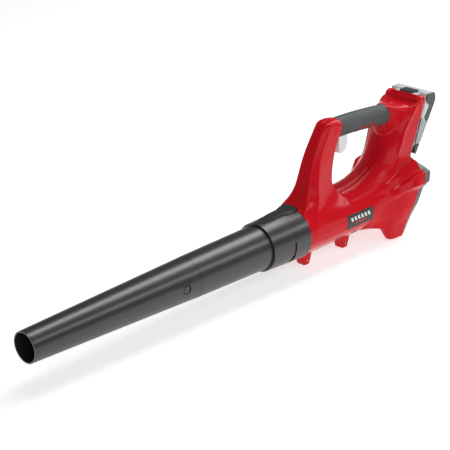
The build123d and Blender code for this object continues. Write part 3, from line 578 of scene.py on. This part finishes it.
def flare(x, y, z):
    depth = BARREL_END_X - REAR_FOOT_X + z * math.tan(math.radians(REAR_LEAN))
    share = np.clip((BARREL_END_X - x) / depth, 0, 1)
    half = [tuple(curve(FLARE_SHARE, [p[i] for p in row], share) for i in (0, 1)) for row in FLARE]
    form = outline(y, z, mirrored(half))
    return np.maximum(form, x - BARREL_END_X)


def barrel(x, a, z):
    up = z - AXIS_Z
    form = np.hypot(a, up) - BARREL_R
    for down, distance in FLATS:
        turn = math.radians(down)
        form = cross(form, a * math.cos(turn) - up * math.sin(turn) - distance, 0.6)
    return np.maximum(form, between(x, -290, CASE_X))


def feet(x, a, z):
    """The two wedge-shaped lugs under the barrel."""
    form = np.full(x.shape, 1e3)
    for foot_x in FEET_X:
        front = ((x - foot_x - 6) * 26 - z * 7) / math.hypot(26, 7)
        rear = (-(x - foot_x + 6) * 26 - z * 9) / math.hypot(26, 9)
        wedge = cross(cross(front, rear, 2), cross(a - FOOT_HALF, 0.6 - z, 2), 2)
        form = np.minimum(form, np.maximum(wedge, z - 30))
    return form


def outer_form(x, y, z):
    a = np.abs(y)
    core = np.maximum(handle(x, a, z, 0), between(x, -358, -202))
    upper = join(join(strut(x, a, z), core, 1.5), tower(x, a, z), 1.5)
    lip = cross(handle(x, a, z, GRIP_WALL + 0.7), between(x, -218, -206), 1.2)
    upper = join(upper, lip, 4)
    upper = join(upper, brow(x, a, z), 1.5)
    lower = np.maximum(join(barrel(x, a, z), flare(x, y, z), 3), rear_plane(x, z))
    form = join(lower, upper, 9)
    return join(form, feet(x, a, z), 3)


def pocket(x, a, z):
    along, forward = pack_axes(x, z)
    wide = np.maximum(np.maximum(-1 - along, forward - PACK_BODY - 0.4), a - PACK_INNER_HALF - 0.4)
    rail = np.maximum(np.maximum(8 - along, forward - PACK_RAIL - 0.15), a - RAIL_HALF - 0.4)
    return np.minimum(wide, rail)


def casing(x, y, z):
    a = np.abs(y)
    skin = outer_form(x, y, z)
    hollow = np.maximum(skin + CASE_WALL, CASE_WALL - pocket(x, a, z))
    intake = np.maximum(flare(x, y, z) + CASE_WALL, -rear_plane(x, z) - 8)
    shell = np.maximum(skin, -np.minimum(hollow, intake))
    mouth = np.maximum(np.hypot(a, z - AXIS_Z) - (SPIGOT_R - CASE_WALL), CASE_X - 6 - x)
    shell = np.maximum(shell, -mouth)
    spigot = np.maximum(np.abs(np.hypot(a, z - AXIS_Z) - SPIGOT_R + CASE_WALL / 2) - CASE_WALL / 2,
                        between(x, CASE_X - 6, SPIGOT_X))
    shell = np.minimum(shell, spigot)
    shell = np.maximum(shell, -pocket(x, a, z))
    return np.maximum(shell, -block(x, a, z, *TRIGGER_SLOT, 1.5))


def case_half(side):
    name = "case_left" if side > 0 else "case_right"

    def half(x, y, z):
        return np.maximum(casing(x, y, z), SEAM - side * y)

    low = (-418, -3 if side > 0 else -HALF_REACH, -1)
    high = (SPIGOT_X + 3, HALF_REACH if side > 0 else 3, CASING_TOP)
    shell_name = "shell_left" if side > 0 else "shell_right"
    moulding(shell_name, half, low, high, FINE, "casing", RED, "red_casing", (name,))


for side in (1, -1):
    case_half(side)


# ---- battery ---------------------------------------------------------------------------------------
def slab(x, y, z, side_view, half, radius):
    """Plate across the tool with a side view outline and rounded edges."""
    d = outline(x, z, side_view) + radius
    w = np.abs(y) - half + radius
    return np.hypot(np.maximum(d, 0), np.maximum(w, 0)) + np.minimum(np.maximum(d, w), 0) - radius


# side views: the cheeks in the row frame, the plates in the battery's own directions
CHEEK = [(-385.5, 140.4), (-389.2, 164), (-394.8, 180), (-404.8, 205), (-415.6, 232.5), (-418.2, 240.2),
         (-436.6, 240.2), (-440.6, 236), (-440.6, 225.1), pack_point(0, 0)]
TRAY_DEPTH = 9.0            # the dark back, which is a piece of its own
CORE_TOP = 96
BUMPER = [(101.5, 30), (112, 12), (104.5, -0.4), (64, -0.4), (62.5, 13.6), (86.5, 11.2), (89, 23)]
PANEL = [(60.5, 32), (60.5, -0.2), (18, -0.2), (13.5, 32)]
FOOT = [(16, -0.2), (11.5, 34), (-0.2, 34), (-0.2, -0.2)]


def tilted(points):
    """Side view points from the battery's own directions: along its slide, and forwards from its back."""
    return [pack_point(along, forward) for along, forward in points]


def battery_cap(x, y, z):
    """Light shell of the battery: cheeks outside the tower, core and rail block inside it."""
    along, forward = pack_axes(x, z)
    form = slab(x, y, z, CHEEK, PACK_HALF - 0.2, 2.6)
    core_view = [(0, 0), (0, PACK_BODY), (CORE_TOP, PACK_BODY), (CORE_TOP, 0)]
    core = slab(x, y, z, tilted(core_view), PACK_INNER_HALF, 1.5)
    rail = slab(x, y, z, tilted([(23, 20), (23, PACK_RAIL), (86, PACK_RAIL), (86, 20)]), RAIL_HALF, 1.2)
    lip = slab(x, y, z, tilted([(84, 20), (84, PACK_RAIL)]) + [(-405.8, 239), (-420, 239)], RAIL_HALF, 1.2)
    form = np.minimum(np.minimum(form, core), np.minimum(rail, lip))
    form = np.maximum(form, np.minimum(TRAY_DEPTH + 0.2 - forward, CORE_TOP + 0.2 - along))
    recess = block(x, y, z, (-429.5, -16.5, 239.2), (-402.5, 16.5, 250), 0.4)
    well = block(x, y, z, (-425.9, -13.6, 231), (-405.6, 13.6, 250), 0.3)
    room = block(along, y, forward, (2.2, -33, 2.2), (97.5, 33, PACK_BODY - 2.2), 0.5)
    ridges = np.maximum(np.abs((forward - 14) % 3.0 - 1.5) - 0.5, between(along, 97, 104))
    form = np.maximum(form, -np.minimum(np.minimum(recess, well), room))
    return np.maximum(form, -np.maximum(ridges, np.abs(y) - 60))


def side_plate(name, points, thick, material, slot_name):
    """Thin plate let into each side of the battery, with the given side view."""
    side_view = tilted(points)

    def plate(x, y, z):
        a = np.abs(y)
        d = np.maximum(outline(x, z, side_view), slab(x, y, z, CHEEK, PACK_HALF + 1, 2.0))
        return np.maximum(np.maximum(d, a - PACK_HALF - thick), PACK_HALF - 2.2 - a)

    for side, low, high in (("left", 36, 41), ("right", -41, -36)):
        moulding(f"{name}_{side}", plate, (-445, low, 134), (-380, high, 244), PLATE_STEP, "battery",
                 material, slot_name)


moulding("battery_shell", battery_cap, (-443, -42, 134), (-372, 42, 243), PACK_STEP, "battery", LIGHT,
         "light_plastic", ("battery_case",))
side_plate("battery_bumper", BUMPER, 0.5, TRAY, "tray_plastic")
side_plate("battery_panel", PANEL, 0.15, PANEL_BLUE, "light_plastic")
side_plate("battery_foot", FOOT, 0.5, TRAY, "tray_plastic")


# ---- marks on the badges and the grip's trim ----------------------------------------------------------
BADGE_R = max(REST["badge_left"][1][1], BARREL_R + 0.6)
BADGE_X = (REST["badge_left"][0][0], REST["badge_left"][1][0])
BAR_ROWS = 5                # heights at which a bar has corners
BAR_SLANT = 0.35


def bars(name, side, spans, low, high, material):
    """Slanted bars printed on the badge: each span gives where a bar starts and ends along it."""
    points, faces = [], []
    for start, end in spans:
        for layer in (0.02, 0.22):
            for z in np.linspace(low, high, BAR_ROWS):
                radius = BADGE_R + layer
                lean = BAR_SLANT * (z - low)
                y = math.sqrt(radius ** 2 - (z - AXIS_Z) ** 2)
                points += [(start + lean, side * y, z), (end + lean, side * y, z)]
        first = len(points) - 4 * BAR_ROWS
        for k in range(BAR_ROWS - 1):
            a = first + 2 * k
            b = a + 2 * BAR_ROWS
            faces += [(b, b + 1, b + 3, b + 2), (a, a + 2, a + 3, a + 1)]
            faces += [(a, b, b + 2, a + 2), (a + 1, a + 3, b + 3, b + 1)]
        faces += [(first, first + 1, first + 11, first + 10), (first + 8, first + 18, first + 19, first + 9)]
    piece(name, np.array(points), np.array(faces), None, "casing", material, "badge")


middle = (BADGE_X[0] + BADGE_X[1]) / 2
for side, end in ((1, "left"), (-1, "right")):
    tall = [(middle - 25 + 8.6 * k, middle - 20 + 8.6 * k) for k in range(6)]
    bars(f"badge_bars_{end}", side, tall, 66, 73, MARK_WHITE)
    bars(f"badge_line_{end}", side, [(middle - 16, middle + 17)], 60.5, 63, MARK_RED)


PAD_LOW, PAD_HIGH = REST["grip_pad"]


def pad_trim(x, y, z):
    """Thin red bead on the grip round the edge of the soft pad under it."""
    a = np.abs(y)
    skin = handle(x, a, z, GRIP_WALL)
    edge = [(PAD_LOW[0] + 1, PAD_LOW[2] - 8), (PAD_LOW[0] + 1, PAD_HIGH[2] - 2.5),
            (PAD_HIGH[0] - 6, PAD_HIGH[2]), (PAD_HIGH[0], PAD_LOW[2] - 8)]
    line = np.abs(outline(x, z, edge)) - 1.05
    return cross(line, np.maximum(skin - 0.5, -1.2 - skin), 0.3)


moulding("grip_pad_trim", pad_trim, (PAD_LOW[0] - 3, -18, PAD_LOW[2] - 3),
         (PAD_HIGH[0] + 3, 18, PAD_HIGH[2] + 3), TRIM_STEP, "casing", RED, "red_casing")


# ---- stage, light and camera -----------------------------------------------------------------------
def stage():
    mesh = bpy.data.meshes.new("floor")
    reach = 9.0
    mesh.from_pydata([(-reach, -reach, 0), (reach, -reach, 0), (reach, reach, 0), (-reach, reach, 0)], [],
                     [(0, 1, 2, 3)])
    floor = bpy.data.objects.new("floor", mesh)
    bpy.context.scene.collection.objects.link(floor)
    paper = bpy.data.materials.new("paper")
    paper.use_nodes = True
    shader = paper.node_tree.nodes["Principled BSDF"]
    shader.inputs["Base Color"].default_value = (0.5, 0.5, 0.5, 1)
    shader.inputs["Roughness"].default_value = 0.9
    shader.inputs["Specular IOR Level"].default_value = 0.1
    shader.inputs["Emission Color"].default_value = (1, 1, 1, 1)
    shader.inputs["Emission Strength"].default_value = 0.66
    mesh.materials.append(paper)


def lamp(name, towards, distance, length, width, power, aim=(-0.05, 0, 0.1)):
    """Soft box in a direction from the tool, facing it, with its length along the tool."""
    data = bpy.data.lights.new(name, "AREA")
    data.shape = "RECTANGLE"
    data.size, data.size_y, data.energy = length, width, power
    light = bpy.data.objects.new(name, data)
    back = Vector(towards).normalized()
    along = (Vector((1, 0, 0)) - back.x * back).normalized()
    turn = Matrix((along, back.cross(along), back)).transposed().to_4x4()
    light.matrix_world = Matrix.Translation(Vector(aim) + back * distance) @ turn
    bpy.context.scene.collection.objects.link(light)


def studio():
    world = bpy.data.worlds.new("studio")
    world.use_nodes = True
    world.node_tree.nodes["Background"].inputs["Color"].default_value = (0.93, 0.96, 1.0, 1)
    world.node_tree.nodes["Background"].inputs["Strength"].default_value = 0.17
    bpy.context.scene.world = world
    bpy.context.scene.view_settings.view_transform = "Standard"
    lamp("overhead", (-0.64, -0.08, 0.77), 2.6, 5.0, 1.0, 80)
    lamp("side", (-0.64, 0.60, 0.48), 2.6, 4.4, 0.26, 22)
    lamp("front", (0.6, 0.8, 0.55), 3.2, 2.2, 2.2, 24)


CAMERA_AZIMUTH, CAMERA_ELEVATION, CAMERA_ROLL = 44.05, 22.96, -1.54
CAMERA_LENS, SENSOR = 115.49, 36.0
FROM_MOUTH = (1.0550, 1.5049, 0.9492)   # metres from the middle of the nozzle's mouth


def camera():
    """Camera at the photograph's angle."""
    azimuth, elevation = math.radians(CAMERA_AZIMUTH), math.radians(CAMERA_ELEVATION)
    roll = math.radians(CAMERA_ROLL)
    back = Vector((math.sin(azimuth) * math.cos(elevation), math.cos(azimuth) * math.cos(elevation),
                   math.sin(elevation)))
    right = (-back).cross(Vector((0, 0, 1))).normalized()
    up = right.cross(-back)
    turned_right = math.cos(roll) * right + math.sin(roll) * up
    turned_up = math.cos(roll) * up - math.sin(roll) * right
    data = bpy.data.cameras.new("camera")
    data.lens, data.sensor_width, data.clip_end = CAMERA_LENS, SENSOR, 30.0
    cam = bpy.data.objects.new("camera", data)
    place = Vector((MOUTH_X, 0, AXIS_Z)) * MM + Vector(FROM_MOUTH)
    turn = Matrix((turned_right, turned_up, back)).transposed().to_4x4()
    cam.matrix_world = Matrix.Translation(place) @ turn
    bpy.context.scene.collection.objects.link(cam)
    bpy.context.scene.camera = cam


stage()
studio()
camera()
